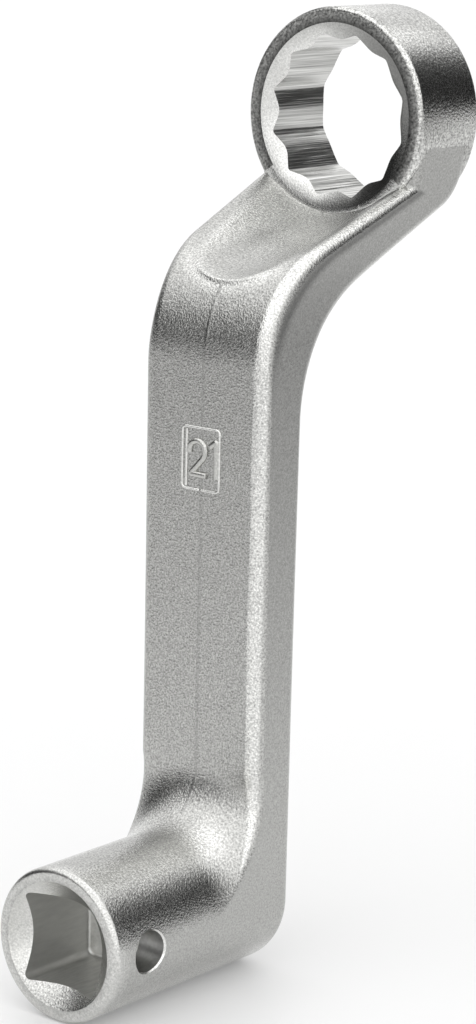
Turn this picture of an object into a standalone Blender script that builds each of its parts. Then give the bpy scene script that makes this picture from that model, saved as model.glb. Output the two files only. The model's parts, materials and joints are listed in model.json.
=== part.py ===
"""Camber adjustment wrench: one forging with a 12-point ring and a square drive boss.

The forging is modelled lying down, about the boss axis: x runs along the shank from the boss to the
ring, y is the way the boss points, with y = 0 on the front face of the shank, and z = 0 is the
parting plane. Its object is then turned to stand on its heel, with +Z up the shank to the ring and
the boss pointing to -Y, and moved so that the origin lies under the middle of the bounding box.
"""

from dataclasses import dataclass
import math

import bmesh
import bpy
import numpy as np

MM = 0.001

# Shank, a flat bar with rounded edges
SHANK_WIDTH = 22.4 * MM
SHANK_THICKNESS = 9.1 * MM
EDGE_ROUND = 2.3 * MM
AXIS_SPACING = 111.1 * MM

# Drive boss with its square socket
BOSS_DIAMETER = 22.2 * MM
BOSS_HEIGHT = 29.4 * MM
BOSS_FILLET = 8.5 * MM
MOUTH_ROUND = 0.7 * MM
SQUARE_DRIVE = 12.8 * MM
SQUARE_CORNER_ROUND = 1.0 * MM
SOCKET_DEPTH = 13.9 * MM
COUNTERSINK_DIAMETER = 18.4 * MM
COUNTERSINK_ANGLE = math.radians(38.0)
CROSS_HOLE_DIAMETER = 6.0 * MM
CROSS_HOLE_FROM_MOUTH = 7.0 * MM

# Ring with its 12-point bore
RING_DIAMETER = 31.4 * MM
RING_THICKNESS = 14.2 * MM
RING_DROP = 28.45 * MM
RING_EDGE_ROUND = 0.7 * MM
RING_ACROSS_FLATS = 21.0 * MM
RING_POINTS = 12
RING_LEAD_IN = 1.3 * MM
RING_FRONT_LEAD_ANGLE = math.radians(28.0)
RING_BACK_LEAD_ANGLE = math.radians(42.0)
SPOTFACE_CLEARANCE = 0.7 * MM

# Neck, bent back from the shank and flared to the ring
NECK_FRONT_ANGLE = math.radians(68.2)
NECK_BACK_ANGLE = math.radians(62.4)
NECK_FRONT_RADIUS = 18.3 * MM
NECK_BACK_RADIUS = 23.0 * MM
NECK_LAND = 9.4 * MM
NECK_THICKNESS = 9.5 * MM
FLARE_LENGTH = 24.0 * MM
FLARE_BLEND = 6.0 * MM
ROOT_ROUND = 6.0 * MM

# Scoop, the round trough down the front of the neck
SCOOP_RADIUS = 16.5 * MM
SCOOP_ANGLE = math.radians(17.3)
SCOOP_LANDING_DIAMETER = 28.0 * MM

# Fineness of the mesh
SECTION_STEPS = 26
ROUND_STEPS = 4
HEEL_STEPS = 6
BEND_STEPS = 12
NECK_STEPS = 4
ROOT_STEPS = 6
CIRCLE_STEPS = 96
FLAT_STEPS = 4
SQUARE_STEPS = 10
HOLE_STEPS = 32
TURN_WEIGHT = 3.0 * MM
CURVE_STEPS = 400
MERGE_DISTANCE = 0.0001 * MM
SHARP_ANGLE = math.radians(35.0)

# How far cutters reach past what they cut, and how deep the neck root is sunk in the ring
OVERSHOOT = 2.0 * MM
ROOT_DEPTH = 0.6 * MM
FLARE_SINK = 0.02 * MM

SATIN_CHROME = (0.62, 0.62, 0.60, 1.0)
SATIN_ROUGHNESS = 0.38

BOSS_RADIUS = BOSS_DIAMETER / 2
RING_RADIUS = RING_DIAMETER / 2
SHANK_HALF = SHANK_WIDTH / 2
RING_FRONT = -RING_DROP
RING_BACK = -RING_DROP - RING_THICKNESS
RING_CORNER = RING_ACROSS_FLATS / 2 / math.cos(2 * math.pi / RING_POINTS)


@dataclass
class Station:
    """One cross-section of the forging, in a plane that stands on the line from inner to outer.

    inner and outer are (x, y) on the front and the back outline. half_width is that of the bar
    there, and crown is the radius of a front that bulges, or None for a flat front. back_gap is how
    far above the back face the line ends, and back_slope is how steeply it comes down to it.
    draw_in shrinks the whole section.
    """

    inner: np.ndarray
    outer: np.ndarray
    half_width: float
    crown: float | None = None
    back_gap: float = 0.0
    back_slope: float = 1.0
    draw_in: float = 0.0


def point(x, y):
    """A point of the side view."""
    return np.array([x, y])


def heading(angle):
    """The unit vector of the side view at an angle above +X."""
    return point(math.cos(angle), math.sin(angle))


def arc_point(corner, before, after, radius, share):
    """A point of the arc that rounds a corner, a share of the way from one heading to the next."""
    start = corner - heading(before) * radius * math.tan(abs(after - before) / 2)
    now = before + (after - before) * share
    signed = math.copysign(radius, after - before)
    return start + signed * point(math.sin(now) - math.sin(before), math.cos(before) - math.cos(now))


def at_height(corner, way, y):
    """The point at height y on the line through a corner."""
    return corner + way * (y - corner[1]) / way[1]


def edge_inset(depth, radius):
    """How far a rounded edge has drawn the outline in, at a depth below the face."""
    left = np.clip(radius - depth, 0.0, radius)
    return radius - np.sqrt(np.maximum(radius**2 - left**2, 0.0))


def flare_slope():
    """Slope of the line from the shank side that touches the ring's circle."""
    circle = RING_RADIUS - FLARE_SINK
    reach = math.hypot(FLARE_LENGTH, SHANK_HALF)
    return math.tan(math.asin(circle / reach) - math.atan2(SHANK_HALF, FLARE_LENGTH))


def plan_half_width(x, inset, half_width):
    """Half-width of the plan outline at x, once the outline is drawn in by inset.

    The heel below the boss axis is round, the shank is straight, and past a short blend the neck
    follows the flare.
    """
    heel = np.sqrt(np.maximum((BOSS_RADIUS - inset) ** 2 - np.minimum(x, 0.0) ** 2, 0.0))
    start = AXIS_SPACING - FLARE_LENGTH
    run = np.clip(x - start + FLARE_BLEND, 0.0, 2 * FLARE_BLEND)
    past = np.maximum(x - start - FLARE_BLEND, 0.0)
    flare = flare_slope() * (run**2 / (4 * FLARE_BLEND) + past)
    return np.where(x < 0.0, half_width / BOSS_RADIUS * heel, half_width + flare - inset)


def front_inset(depth, half_width, crown):
    """How far the front of a section lies inside its half-width, at a depth below the front.

    A flat front only has its rounded edge. A crowned front is an arc of the crown radius that runs
    into the rounded edge, and with a crown as small as the half-width it is a half circle.
    """
    if crown is None:
        return edge_inset(depth, EDGE_ROUND)
    sine = (half_width - EDGE_ROUND) / (crown - EDGE_ROUND)
    cosine = math.sqrt(max(1.0 - sine**2, 0.0))
    edge_depth = crown - (crown - EDGE_ROUND) * cosine
    arc = np.sqrt(np.maximum(2 * crown * depth - depth**2, 0.0))
    left = np.clip(edge_depth - depth, 0.0, EDGE_ROUND)
    edge = half_width - EDGE_ROUND + np.sqrt(EDGE_ROUND**2 - left**2)
    reached = np.where(depth < crown * (1.0 - cosine), arc, edge)
    return half_width - np.where(depth < edge_depth, reached, half_width)


def spread(outline, count):
    """Points along an outline, closer together where it turns."""
    steps = np.diff(outline, axis=0)
    lengths = np.hypot(steps[:, 0], steps[:, 1])
    outline = outline[np.append(True, lengths > MERGE_DISTANCE)]
    steps = np.diff(outline, axis=0)
    lengths = np.hypot(steps[:, 0], steps[:, 1])
    headings = np.unwrap(np.arctan2(steps[:, 1], steps[:, 0]))
    turns = np.append(0.0, np.abs(np.diff(headings)))
    measure = np.append(0.0, np.cumsum(lengths + TURN_WEIGHT * turns))
    wanted = np.linspace(0.0, measure[-1], count)
    return np.column_stack([np.interp(wanted, measure, outline[:, k]) for k in (0, 1)])


def section_loop(station):
    """The closed loop of a station's cross-section, as (x, y, z) points."""
    line = station.outer - station.inner
    length = np.hypot(line[0], line[1])
    depth = length * (1.0 - np.cos(np.linspace(0.0, math.pi, CURVE_STEPS))) / 2
    x = station.inner[0] + line[0] / length * depth
    half_width = station.half_width - station.draw_in
    crown = None if station.crown is None else max(station.crown - station.draw_in, half_width)
    above_back = (length - depth) * station.back_slope + station.back_gap
    inset = front_inset(depth, half_width, crown) + edge_inset(above_back, EDGE_ROUND)
    side = plan_half_width(x, inset + station.draw_in, station.half_width)
    outline = np.column_stack([np.r_[0.0, depth, length], np.r_[0.0, side, 0.0]])
    half = spread(outline, SECTION_STEPS)
    half[[0, -1], 1] = 0.0
    whole = np.vstack([half, half[-2:0:-1] * (1, -1)])
    places = station.inner + whole[:, :1] / length * line
    return np.column_stack([places, whole[:, 1]])


def boss_stations():
    """Round sections from the rounded mouth of the boss down to its fillet."""
    stations = []
    for turn in np.linspace(0.0, math.pi / 2, ROUND_STEPS + 1):
        draw_in = MOUTH_ROUND * (1.0 - math.sin(turn))
        y = BOSS_HEIGHT - MOUTH_ROUND * (1.0 - math.cos(turn))
        radius = BOSS_RADIUS - draw_in
        stations.append(Station(point(radius, y), point(-radius, y), BOSS_RADIUS, BOSS_RADIUS,
                                back_gap=y + SHANK_THICKNESS, back_slope=0.0, draw_in=draw_in))
    return stations


def heel_outline():
    """Points along the outline of the heel, from the boss round the lower edge to the shank.

    They lie closest where the round end of the heel meets the back.
    """
    back = -SHANK_THICKNESS
    centre = point(EDGE_ROUND - BOSS_RADIUS, back + EDGE_ROUND)
    shares = np.linspace(0.0, 1.0, HEEL_STEPS, endpoint=False)
    bottom = [point(-BOSS_RADIUS, BOSS_FILLET + (centre[1] - BOSS_FILLET) * share) for share in shares]
    turns = np.linspace(0.0, math.pi / 2, ROUND_STEPS, endpoint=False)
    edge = [centre - EDGE_ROUND * point(math.cos(turn), math.sin(turn)) for turn in turns]
    round_end = [point(centre[0] * math.cos(share * math.pi / 2), back) for share in shares]
    flat = [point((BOSS_RADIUS + BOSS_FILLET) * share, back) for share in shares]
    return bottom + edge + round_end + flat


def heel_stations():
    """A fan of sections about the centre of the fillet, from the round boss to the flat shank."""
    pivot = point(BOSS_RADIUS + BOSS_FILLET, BOSS_FILLET)
    stations = []
    for outer in heel_outline():
        way = (outer - pivot) / np.hypot(*(outer - pivot))
        inner = pivot + BOSS_FILLET * way
        share = math.atan2(-way[0], -way[1]) / (math.pi / 2)
        half_width = SHANK_HALF + (BOSS_RADIUS - SHANK_HALF) * share
        stations.append(Station(inner, outer, half_width, -inner[0] / way[0],
                                back_gap=outer[1] + SHANK_THICKNESS, back_slope=-way[1]))
    foot = BOSS_RADIUS + BOSS_FILLET
    stations.append(Station(point(foot, 0.0), point(foot, -SHANK_THICKNESS), SHANK_HALF))
    return stations


def neck_corners():
    """The corners where the straight outlines of shank and neck would meet, front and back.

    The front of the neck meets the ring's face at the land, measured from the ring's axis. The back
    lies the neck's thickness behind it, at half the height of the neck.
    """
    landing = point(AXIS_SPACING - NECK_LAND, RING_FRONT)
    front_corner = at_height(landing, heading(-NECK_FRONT_ANGLE), 0.0)
    behind = (landing + front_corner) / 2 - NECK_THICKNESS * heading(math.pi / 2 - NECK_FRONT_ANGLE)
    back_corner = at_height(behind, heading(-NECK_BACK_ANGLE), -SHANK_THICKNESS)
    return front_corner, back_corner


def neck_stations():
    """Sections round the bend, along the neck and round its root, which ends inside the ring.

    The root's sections fan out to where the flare touches the ring's circle.
    """
    front_corner, back_corner = neck_corners()
    root_front = at_height(front_corner, heading(-NECK_FRONT_ANGLE), RING_FRONT - ROOT_DEPTH)
    root_back = at_height(back_corner, heading(-NECK_BACK_ANGLE), RING_BACK + RING_EDGE_ROUND)
    touch = AXIS_SPACING - RING_RADIUS * math.sin(math.atan(flare_slope()))
    outlines = []
    for share in np.linspace(0.0, 1.0, BEND_STEPS + 1):
        outlines.append((arc_point(front_corner, 0.0, -NECK_FRONT_ANGLE, NECK_FRONT_RADIUS, share),
                         arc_point(back_corner, 0.0, -NECK_BACK_ANGLE, NECK_BACK_RADIUS, share)))
    bend_front, bend_back = outlines[-1]
    root_start = arc_point(root_back, -NECK_BACK_ANGLE, 0.0, ROOT_ROUND, 0.0)
    for share in np.linspace(0.0, 1.0, NECK_STEPS, endpoint=False)[1:]:
        outlines.append((bend_front + (root_front - bend_front) * share,
                         bend_back + (root_start - bend_back) * share))
    root_end = point(touch, root_front[1])
    for share in np.linspace(0.0, 1.0, ROOT_STEPS, endpoint=False):
        outlines.append((root_front + (root_end - root_front) * share,
                         arc_point(root_back, -NECK_BACK_ANGLE, 0.0, ROOT_ROUND, share)))
    outlines.append((root_end, point(touch, root_back[1])))
    return [Station(front, back, SHANK_HALF) for front, back in outlines]


def make_object(name, bm):
    """An object from a bmesh, with its faces turned outward and its round stretches shaded smooth."""
    bmesh.ops.recalc_face_normals(bm, faces=bm.faces)
    mesh = bpy.data.meshes.new(name)
    bm.to_mesh(mesh)
    bm.free()
    mesh.shade_smooth()
    mesh.set_sharp_from_angle(angle=SHARP_ANGLE)
    obj = bpy.data.objects.new(name, mesh)
    bpy.context.scene.collection.objects.link(obj)
    return obj


def loft(name, rows):
    """A closed skin over rows of points, all as long as each other, capped at both ends."""
    bm = bmesh.new()
    rows = [[bm.verts.new(place) for place in row] for row in rows]
    for near, far in zip(rows, rows[1:]):
        for k, corner in enumerate(near):
            bm.faces.new((near[k - 1], corner, far[k], far[k - 1]))
    bm.faces.new(rows[0])
    bm.faces.new(rows[-1])
    return make_object(name, bm)


def circle():
    """The unit circle as a polygon, its corners half a step off the axes, where other corners lie."""
    angles = (np.arange(CIRCLE_STEPS) + 0.5) * 2 * math.pi / CIRCLE_STEPS
    return np.column_stack([np.cos(angles), np.sin(angles)])


def ring_blank():
    """The ring as a disc with rounded edges, before it is bored."""
    turns = np.linspace(0.0, math.pi / 2, ROUND_STEPS + 1)
    inset = RING_EDGE_ROUND * (1.0 - np.sin(turns))
    depth = RING_EDGE_ROUND * (1.0 - np.cos(turns))
    radii = RING_RADIUS - np.append(inset, inset[::-1])
    heights = np.append(RING_FRONT - depth, RING_BACK + depth[::-1])
    rows = [level(circle() * radius, y, AXIS_SPACING) for radius, y in zip(radii, heights)]
    return loft("ring_blank", rows)


def around(stretch, count):
    """The whole outline about an axis, from one stretch of it and its turned copies."""
    copies = []
    for turn in np.arange(count) * 2 * math.pi / count:
        along, across = heading(turn), heading(turn + math.pi / 2)
        copies.append(stretch[:, :1] * along + stretch[:, 1:] * across)
    return np.vstack(copies)


def level(outline, y, x=0.0):
    """An outline of (x, z) points about the axis at x, lifted to height y, one for all or one each."""
    return np.column_stack([x + outline[:, 0], np.broadcast_to(y, len(outline)), outline[:, 1]])


def cone_meets(outline, face, outward, rim, angle):
    """The height where a lead-in cone, rim wide at the face, meets each point of an outline."""
    return face - outward * (rim - np.hypot(outline[:, 0], outline[:, 1])) * math.tan(angle)


def ring_bore_cutter():
    """The 12-point bore: two crossed hexagons carried through the ring, with a lead-in cone at each end.

    Outside the cones the cutter has a straight flank, which clears the root of the neck.
    """
    flat = RING_ACROSS_FLATS / 2
    pitch = 2 * math.pi / RING_POINTS
    inner_corner = flat / math.cos(pitch / 2) * heading(0.0)
    outer_corner = RING_CORNER * heading(pitch / 2)
    next_corner = flat / math.cos(pitch / 2) * heading(pitch)
    shares = np.linspace(0.0, 1.0, FLAT_STEPS, endpoint=False)[:, None]
    outline = around(np.vstack([inner_corner + (outer_corner - inner_corner) * shares,
                                outer_corner + (next_corner - outer_corner) * shares]), RING_POINTS)
    rim = RING_CORNER + RING_LEAD_IN
    flank = outline / np.hypot(outline[:, 0], outline[:, 1])[:, None] * (rim + SPOTFACE_CLEARANCE)
    rows = []
    for face, outward, angle in ((RING_BACK, -1.0, RING_BACK_LEAD_ANGLE),
                                 (RING_FRONT, 1.0, RING_FRONT_LEAD_ANGLE)):
        end = [level(outline, cone_meets(outline, face, outward, rim, angle), AXIS_SPACING),
               level(flank, cone_meets(flank, face, outward, rim, angle), AXIS_SPACING),
               level(flank, face + outward * OVERSHOOT, AXIS_SPACING)]
        rows = rows[::-1] + end
    return loft("ring_bore", rows)


def scoop_cutter():
    """A leaning cylinder whose lowest line runs down the front of the neck to the ring's face."""
    outline = circle() * (SCOOP_RADIUS / math.cos(SCOOP_ANGLE), SCOOP_RADIUS)
    landing = AXIS_SPACING - SCOOP_LANDING_DIAMETER / 2 - outline[:, 0].min()
    rows = []
    for y in (RING_FRONT - RING_EDGE_ROUND - OVERSHOOT, OVERSHOOT):
        rows.append(level(outline, y, landing + math.tan(SCOOP_ANGLE) * (RING_FRONT - y)))
    return loft("scoop", rows)


def drive_socket_cutter():
    """The square of the drive socket with rounded corners, and the cone that leads into it."""
    half = SQUARE_DRIVE / 2
    reach = half - SQUARE_CORNER_ROUND
    flat = [point(half, z) for z in np.linspace(-reach, reach, SQUARE_STEPS, endpoint=False)]
    turns = np.linspace(0.0, math.pi / 2, ROUND_STEPS, endpoint=False)
    corner = [point(reach, reach) + SQUARE_CORNER_ROUND * heading(turn) for turn in turns]
    outline = around(np.array(flat + corner), 4)
    rim = COUNTERSINK_DIAMETER / 2
    radii = np.hypot(outline[:, 0], outline[:, 1])[:, None]
    wide = outline / radii * (rim + OVERSHOOT / math.tan(COUNTERSINK_ANGLE))
    rows = [level(wide, BOSS_HEIGHT + OVERSHOOT),
            level(outline, cone_meets(outline, BOSS_HEIGHT, 1.0, rim, COUNTERSINK_ANGLE)),
            level(outline, BOSS_HEIGHT - SOCKET_DEPTH)]
    return loft("drive_socket", rows)


def cross_hole_cutter():
    """The hole through the upper wall of the socket, which the detent of a drive snaps into."""
    top = BOSS_RADIUS + OVERSHOOT
    bm = bmesh.new()
    bmesh.ops.create_cone(bm, cap_ends=True, segments=HOLE_STEPS, radius1=CROSS_HOLE_DIAMETER / 2,
                          radius2=CROSS_HOLE_DIAMETER / 2, depth=top)
    bmesh.ops.translate(bm, verts=bm.verts, vec=(0.0, BOSS_HEIGHT - CROSS_HOLE_FROM_MOUTH, top / 2))
    return make_object("cross_hole", bm)


def combine(body, other, operation):
    """Joins a shape to the body or cuts it away, and keeps it as a hidden guide under the body."""
    modifier = body.modifiers.new(other.name, "BOOLEAN")
    modifier.operation = operation
    modifier.object = other
    other.parent = body
    other.hide_render = True
    other.display_type = "WIRE"


def satin_chrome():
    """Satin chrome plating."""
    material = bpy.data.materials.new("satin_chrome")
    material.use_nodes = True
    shader = material.node_tree.nodes["Principled BSDF"]
    shader.inputs["Base Color"].default_value = SATIN_CHROME
    shader.inputs["Metallic"].default_value = 1.0
    shader.inputs["Roughness"].default_value = SATIN_ROUGHNESS
    return material


def main():
    for obj in list(bpy.data.objects):
        bpy.data.objects.remove(obj)
    stations = boss_stations() + heel_stations() + neck_stations()
    body = loft("wrench_body", [section_loop(station) for station in stations])
    body.data.materials.append(satin_chrome())
    combine(body, scoop_cutter(), "DIFFERENCE")
    combine(body, ring_blank(), "UNION")
    combine(body, ring_bore_cutter(), "DIFFERENCE")
    combine(body, drive_socket_cutter(), "DIFFERENCE")
    combine(body, cross_hole_cutter(), "DIFFERENCE")
    body.rotation_euler = (math.pi, -math.pi / 2, 0.0)
    body.location = (0.0, (BOSS_HEIGHT + RING_BACK) / 2, BOSS_RADIUS)


main()
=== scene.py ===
"""Looks of the camber adjustment wrench: the fine surface of the forging, its satin chrome and the studio.

The forging is worked out in its own side view. along runs up the shank from the drive axis, out is the
way the drive boss points, with 0 on the front face of the shank, and across is measured from the parting
plane. place() turns these into points of the frame.
"""

import json
import math

import bmesh
import bpy
import numpy as np
from mathutils import Matrix


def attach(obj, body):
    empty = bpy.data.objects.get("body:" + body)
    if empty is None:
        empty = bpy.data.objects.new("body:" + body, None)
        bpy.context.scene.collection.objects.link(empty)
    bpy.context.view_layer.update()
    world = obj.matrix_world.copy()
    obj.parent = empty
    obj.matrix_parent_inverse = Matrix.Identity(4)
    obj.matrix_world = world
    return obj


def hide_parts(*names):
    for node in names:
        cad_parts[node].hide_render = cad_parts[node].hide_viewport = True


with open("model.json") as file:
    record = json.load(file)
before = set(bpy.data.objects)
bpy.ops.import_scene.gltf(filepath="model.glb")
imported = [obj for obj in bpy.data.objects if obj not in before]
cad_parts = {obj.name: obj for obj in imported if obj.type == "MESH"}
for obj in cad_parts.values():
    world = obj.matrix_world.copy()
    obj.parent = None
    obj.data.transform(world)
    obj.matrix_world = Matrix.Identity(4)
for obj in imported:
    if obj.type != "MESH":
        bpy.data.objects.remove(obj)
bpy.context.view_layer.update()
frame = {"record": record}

MM = 0.001

# Shank, a flat bar with rounded edges
SHANK_HALF = 11.2 * MM
SHANK_THICKNESS = 9.1 * MM
EDGE_ROUND = 2.3 * MM
AXIS_SPACING = 111.1 * MM

# Drive boss with its square socket. The countersink is grainy and dull low down, by the cosine of the angle
# from its top: the grain is its finish, and the dull colour is painted shade
BOSS_RADIUS = 11.1 * MM
BOSS_HEIGHT = 29.4 * MM
BOSS_FILLET = 8.5 * MM
MOUTH_ROUND = 0.9 * MM
SQUARE_HALF = 6.4 * MM
SQUARE_CORNER_ROUND = 1.0 * MM
SOCKET_DEPTH = 13.9 * MM
SOCKET_FLOOR_ROUND = 0.5 * MM
COUNTERSINK_RADIUS = 9.2 * MM
COUNTERSINK_ANGLE = math.radians(38.0)
COUNTERSINK_DULL_COSINE = -0.6
CROSS_HOLE_RADIUS = 3.0 * MM
CROSS_HOLE_FROM_MOUTH = 7.0 * MM
CROSS_HOLE_RIM = 0.25 * MM

# Ring with its 12-point bore. Its front face is coarse and dark except low down, by the cosine of the same
# angle: the coarse grain is its finish, and the dark colour is painted shade
RING_RADIUS = 15.7 * MM
RING_FRONT = -28.45 * MM
RING_BACK = -42.65 * MM
RING_EDGE_ROUND = 0.7 * MM
RING_COARSE_SHADE_COSINE = -0.6
RING_FLAT = 10.5 * MM
RING_POINTS = 12
LOBE_ROUND = 0.5 * MM
RING_LEAD_IN = 1.3 * MM
RING_FRONT_LEAD_ANGLE = math.radians(28.0)
RING_BACK_LEAD_ANGLE = math.radians(42.0)
SPOTFACE_CLEARANCE = 0.7 * MM

# Neck, bent back from the shank and flared to the ring
NECK_FRONT_ANGLE = math.radians(68.2)
NECK_BACK_ANGLE = math.radians(62.4)
NECK_FRONT_RADIUS = 18.3 * MM
NECK_BACK_RADIUS = 23.0 * MM
NECK_LAND = 9.4 * MM
NECK_THICKNESS = 9.5 * MM
FLARE_LENGTH = 24.0 * MM
FLARE_BLEND = 6.0 * MM
FLARE_SINK = 0.02 * MM
ROOT_ROUND = 6.0 * MM
ROOT_DEPTH = 0.6 * MM

# Scoop, the round trough down the front of the neck
SCOOP_RADIUS = 16.5 * MM
SCOOP_ANGLE = math.radians(17.3)
SCOOP_LANDING = 14.0 * MM
SCOOP_END_RIM = 0.25 * MM
SCOOP_SIDE_RIM = 1.8 * MM
SCOOP_SIDE = (4.0 * MM, 10.0 * MM)
SCOOP_LIP_HEIGHT = 0.22 * MM
SCOOP_LIP_WIDTH = 0.3 * MM

# Size mark on the front of the shank: paths of its raised lines, as across and along in millimetres. The
# bowl of the 2 is an arc, with across and along of its centre, its radius and its two angles in degrees
MARK_FRAME = ((-0.2, 60.0), (3.2, 60.0), (3.2, 68.9), (-3.5, 68.9), (-3.5, 60.0), (-0.2, 60.0))
MARK_LINE = ((-2.75, 60.3), (-2.75, 68.6))
MARK_ONE = ((1.6, 66.4), (2.65, 67.2), (2.7, 66.8), (2.75, 61.9))
MARK_TWO_BOWL = (-0.75, 65.55, 1.45, 195.0, -35.0)
MARK_TWO_FOOT = ((-1.95, 62.2), (0.95, 62.15))
FRAME_WIDTH = 0.4 * MM
FRAME_HEIGHT = 0.2 * MM
DIGIT_WIDTH = 0.95 * MM
DIGIT_HEIGHT = 0.45 * MM
LINE_SINK = 0.15 * MM

# Parting line, from the fillet of the boss to a share of the bend
PARTING_FILLET = math.radians(50.0)
PARTING_BEND_SHARE = 0.55
PARTING_WIDTH = 0.6 * MM
PARTING_HEIGHT = 0.03 * MM

# Fineness of the surfaces
SECTION_STEPS = 110
ROUND_STEPS = 10
BOSS_STEPS = 8
HEEL_STEPS = 26
SHANK_STEPS = 24
BEND_STEPS = 130
NECK_STEPS = 30
ROOT_STEPS = 14
CIRCLE_STEPS = 384
LOBE_STEPS = 40
STROKE_STEPS = 120
STROKE_BLUR = 5
HOLE_STEPS = 96
CURVE_STEPS = 900
TURN_WEIGHT = 3.0 * MM
MERGE_DISTANCE = 0.0001 * MM
SHARP_ANGLE = math.radians(32.0)
OVERSHOOT = 2.0 * MM
FLAT_CROWN = 10.0

# Studio: each patch of the tent has the azimuth and elevation of its middle, its radius and its softness in
# degrees, and the light that it adds or the share of the light that it leaves
TENT_LIGHT = 0.89
BRIGHT_PATCHES = (((-81.0, 27.0), 80.0, 20.0, 0.62),
                  ((118.0, 52.0), 32.0, 16.0, 0.3))
DARK_PATCHES = (((-151.0, -17.0), 49.5, 11.0, 0.03),
                ((56.0, 8.0), 32.5, 9.0, 0.04))
WHITE = (1.0, 1.0, 1.0, 1.0)
FLOOR = (0.69, 0.69, 0.69, 1.0)
FLOOR_WHITE = 0.15
FLOOR_HALF = 8.0

# Camera, fitted to the photograph
SENSOR_WIDTH = 36.0
LENS = 110.27
CAMERA_PLACE = (0.27456, -0.34210, 0.16112)
CAMERA_FORWARD = (-0.61001, 0.76410, -0.20988)
CAMERA_UP = (-0.1489, 0.1496, 0.9775)

# Colours of the chrome, from the brightest to the darkest. BRIGHT is the colour of the painted highlights,
# and SHADED and DARK are painted shade
BRIGHTEST = (0.79, 0.79, 0.771, 1.0)
BRIGHT = (0.71, 0.71, 0.692, 1.0)
MILD = (0.57, 0.57, 0.55, 1.0)
DULL = (0.475, 0.475, 0.461, 1.0)
FAINT = (0.41, 0.41, 0.398, 1.0)
SHADED = (0.26, 0.26, 0.252, 1.0)
DARK = (0.08, 0.08, 0.077, 1.0)

# Grain of the chrome: grains per metre along each axis, and the share of it that is left on the narrow
# sides and on faces that look down, with the parts of the normal between which it fades
FINE_GRAIN = (3600.0, 3600.0, 3600.0)
RING_GRAIN = (3000.0, 3000.0, 3000.0)
COARSE_GRAIN = (2600.0, 2600.0, 2600.0)
DRILLED_GRAIN = (1500.0, 1500.0, 1500.0)
SOCKET_STREAKS = (1500.0, 300.0, 1500.0)
BROACH_STREAKS = (4500.0, 60.0, 4500.0)
GRAIN_DETAIL = 2.0
GRAIN_ROUGHNESS = 0.6
GRAIN_MIDDLE = 0.5
SIDE_GRAIN = 0.55
SIDE_TURN = (0.93, 1.0)
DOWN_TURN = (-0.45, 0.05)

# Painted shade on the chrome: upright faces get darker by a share between two heights, and the narrow sides
# by several times that share up to where the neck flares. The lead-in changes its colour as it turns, from
# painted shade to a painted highlight on faces that turn to +X
PAINTED_SHADE_HEIGHTS = (20.0 * MM, 95.0 * MM)
PAINTED_SHADE_SHARE = 0.19
UPRIGHT_TURN = (0.15, 0.45)
SIDE_PAINTED_SHADE = 2.7
SIDE_PAINTED_SHADE_FADE = (92.0 * MM, 117.0 * MM)
LEAD_IN_HIGHLIGHT_TURN = (-0.25, 0.32)

# Painted highlight along the edges: the curvatures between which it shows, how far up it goes, how far it
# turns to the side, and the painted shade of the dark line behind the edge of the neck
EDGE_BENDS = (0.15 / MM, 0.35 / MM)
EDGE_FADE = (112.0 * MM, 120.0 * MM)
EDGE_TURN = (0.72, 0.9)
EDGE_SHADE = 0.5
EDGE_SHADE_DEPTH = 2.6 * MM
EDGE_SHADE_WIDTH = 0.8 * MM
EDGE_SHADE_RISE = (74.0 * MM, 86.0 * MM)

# Painted highlight in the scoop: the depths and heights between which it shows, the painted highlight of the
# brow at its lower end, and the valley beside its middle that is left dull
SCOOP_SHINE = (0.0, 1.2 * MM)
SCOOP_RISE = (90.5 * MM, 94.5 * MM)
SCOOP_BROW = (-2.0 * MM, -0.4 * MM)
SCOOP_BROW_SHINE = 0.6
SCOOP_VALLEY = -4.2 * MM
SCOOP_VALLEY_WIDTH = 2.6 * MM
SCOOP_VALLEY_END = (94.0 * MM, 97.0 * MM)

# Painted highlight round the mouth of the boss and on the flanks of its fillet, by the parts of the normal
# between which it shows
MOUTH_PAINTED_HIGHLIGHT = 0.5
FLANK_SIDEWAYS = (0.1, 0.45)
FLANK_UPWARDS = (0.45, 0.8)

# Places of the sockets of a colour Mix node: its two colours, and the result
MIX_FIRST = 6
MIX_SECOND = 7
MIX_RESULT = 2

mounts = {mount["name"]: mount for mount in frame["record"]["mounts"]}
DRIVE_FACE_Y = mounts["drive_face"]["pos_m"][1]


def place(along, out, across):
    """Points of the frame: along goes up from the drive axis, out to the front, and across to the side."""
    return np.stack(np.broadcast_arrays(across, DRIVE_FACE_Y + BOSS_HEIGHT - out, along + BOSS_RADIUS), -1)


def heading(angle):
    """Unit vectors of the side view at angles above the shank's own direction."""
    return np.stack([np.cos(angle), np.sin(angle)], -1)


def arc(corner, before, after, radius, shares):
    """The arc that rounds a corner: it starts where the circle touches the first line and turns evenly."""
    start = corner - heading(before) * radius * math.tan(abs(after - before) / 2)
    now = before + (after - before) * shares
    turn = np.stack([np.sin(now) - math.sin(before), math.cos(before) - np.cos(now)], -1)
    return start + math.copysign(radius, after - before) * turn


def line(start, end, shares):
    """Points on a straight line, at shares of its length."""
    return start + (end - start) * shares[:, None]


def at_height(corner, way, out):
    """The point at a height out on the line through a corner."""
    return corner + way * (out - corner[1]) / way[1]


def smooth_max(a, b, width):
    """The larger of two values, with a parabola of the given width where they come close."""
    near = np.maximum(width - np.abs(a - b), 0.0)
    return np.maximum(a, b) + near**2 / (4 * width)


def smooth_step(value, low, high):
    """0 below low and 1 above high, with an even S-curve between them."""
    share = np.clip((value - low) / (high - low), 0.0, 1.0)
    return share * share * (3.0 - 2.0 * share)


def bell(value, middle, width):
    """1 at the middle, falling to 0 on both sides in a bell curve of the given width."""
    return np.exp(-(((value - middle) / width) ** 2))


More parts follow.
